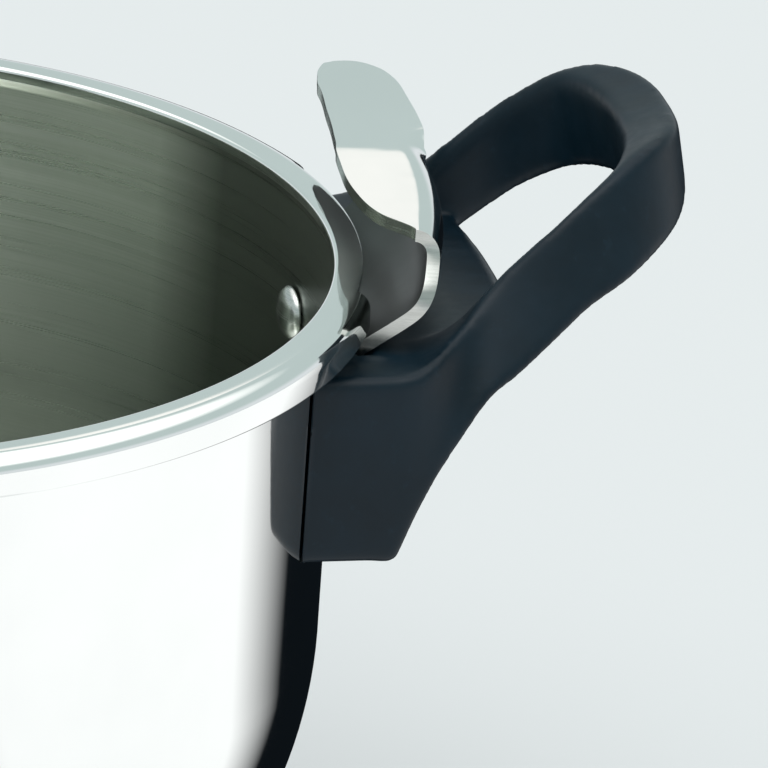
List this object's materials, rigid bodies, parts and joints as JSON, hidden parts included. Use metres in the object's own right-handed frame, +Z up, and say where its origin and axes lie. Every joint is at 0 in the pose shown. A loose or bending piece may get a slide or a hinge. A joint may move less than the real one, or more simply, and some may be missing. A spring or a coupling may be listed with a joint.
{
  "type": "stovetop pressure cooker",
  "caption": "Round steel pressure cooker: open pot with hook brackets and black loop handles, bridge-bar lid with knob and valves laid upside down beside it.",
  "frame": {"origin": "centre of the pot's underside, on the surface it stands on", "axes": "+Z up along the pot's axis; +X through the middle of one handle; the lid lies on the +Y side"},
  "size_m": [0.351, 0.5089, 0.1596],
  "materials": {
    "polished_pot_steel": "mirror polished outside, brushed inside",
    "polished_steel": "mirror polished",
    "rivet_steel": "satin",
    "core_aluminium": "turned",
    "black_bakelite": "satin moulded",
    "fastener_steel": "plated",
    "turned_steel": "turned",
    "brass_pin": "turned",
    "grey_silicone": "moulded"
  },
  "bodies": {
    "pot": {"pot_shell": "polished_pot_steel", "base_core": "core_aluminium", "base_cap": "polished_steel", "hook_bracket_right": "polished_steel", "handle_right": "black_bakelite", "handle_screw_right": "fastener_steel", "handle_nut_right": "fastener_steel", "rivet_right_near": "rivet_steel", "rivet_right_far": "rivet_steel", "hook_bracket_left": "polished_steel", "handle_left": "black_bakelite", "handle_screw_left": "fastener_steel", "handle_nut_left": "fastener_steel", "rivet_left_near": "rivet_steel", "rivet_left_far": "rivet_steel"},
    "lid": {"lid_shell": "polished_steel", "lid_gasket": "grey_silicone", "lid_boss": "turned_steel", "spindle_retaining_ring": "turned_steel", "vent_stem": "turned_steel", "vent_washer": "grey_silicone", "vent_nut": "fastener_steel", "safety_valve_body": "turned_steel", "safety_valve_seat": "turned_steel", "safety_valve_spring": "fastener_steel", "safety_valve_washer": "grey_silicone", "safety_valve_nut": "fastener_steel"},
    "bridge_swivel": {"swivel_collar": "turned_steel"},
    "bridge": {"bridge_bar": "polished_steel", "bridge_nut": "turned_steel"},
    "screw_knob": {"spindle": "turned_steel", "knob": "black_bakelite", "knob_screw": "fastener_steel", "knob_cap": "black_bakelite"},
    "regulator": {"valve_weight": "polished_steel", "valve_cap": "black_bakelite"},
    "safety_pin": {"safety_valve_pin": "brass_pin"}
  },
  "joints": [
    {"name": "lid_turnover", "type": "hinge", "parent": "pot", "child": "lid", "pos_m": [-0.01098, 0.13957, 0.104], "axis": [0.9969, 0.0785, 0], "range_deg": [0, 180]},
    {"name": "bridge_turn", "type": "hinge", "parent": "lid", "child": "bridge_swivel", "pos_m": [-0.02197, 0.27914, 0.06], "axis": [0, 0, 1], "range_deg": [0, 42]},
    {"name": "bridge_lift", "type": "slide", "parent": "bridge_swivel", "child": "bridge", "axis": [0, 0, -1], "range_m": [0, 0.0021]},
    {"name": "knob_turn", "type": "hinge", "parent": "lid", "child": "screw_knob", "pos_m": [-0.02197, 0.27914, 0.02], "axis": [0, 0, 1], "range_deg": [0, 252]},
    {"name": "regulator_lift", "type": "slide", "parent": "lid", "child": "regulator", "axis": [0, 0, -1], "range_m": [0, 0.016]},
    {"name": "safety_pin_pop", "type": "slide", "parent": "lid", "child": "safety_pin", "axis": [0, 0, -1], "range_m": [0, 0.003], "stiffness_N_per_m": 400, "springref_m": -0.002, "deforming": ["safety_valve_spring"]}
  ],
  "couplings": [
    {"joint": "knob_turn", "follows": "bridge_lift", "rad_per_m": 2094.4}
  ]
}
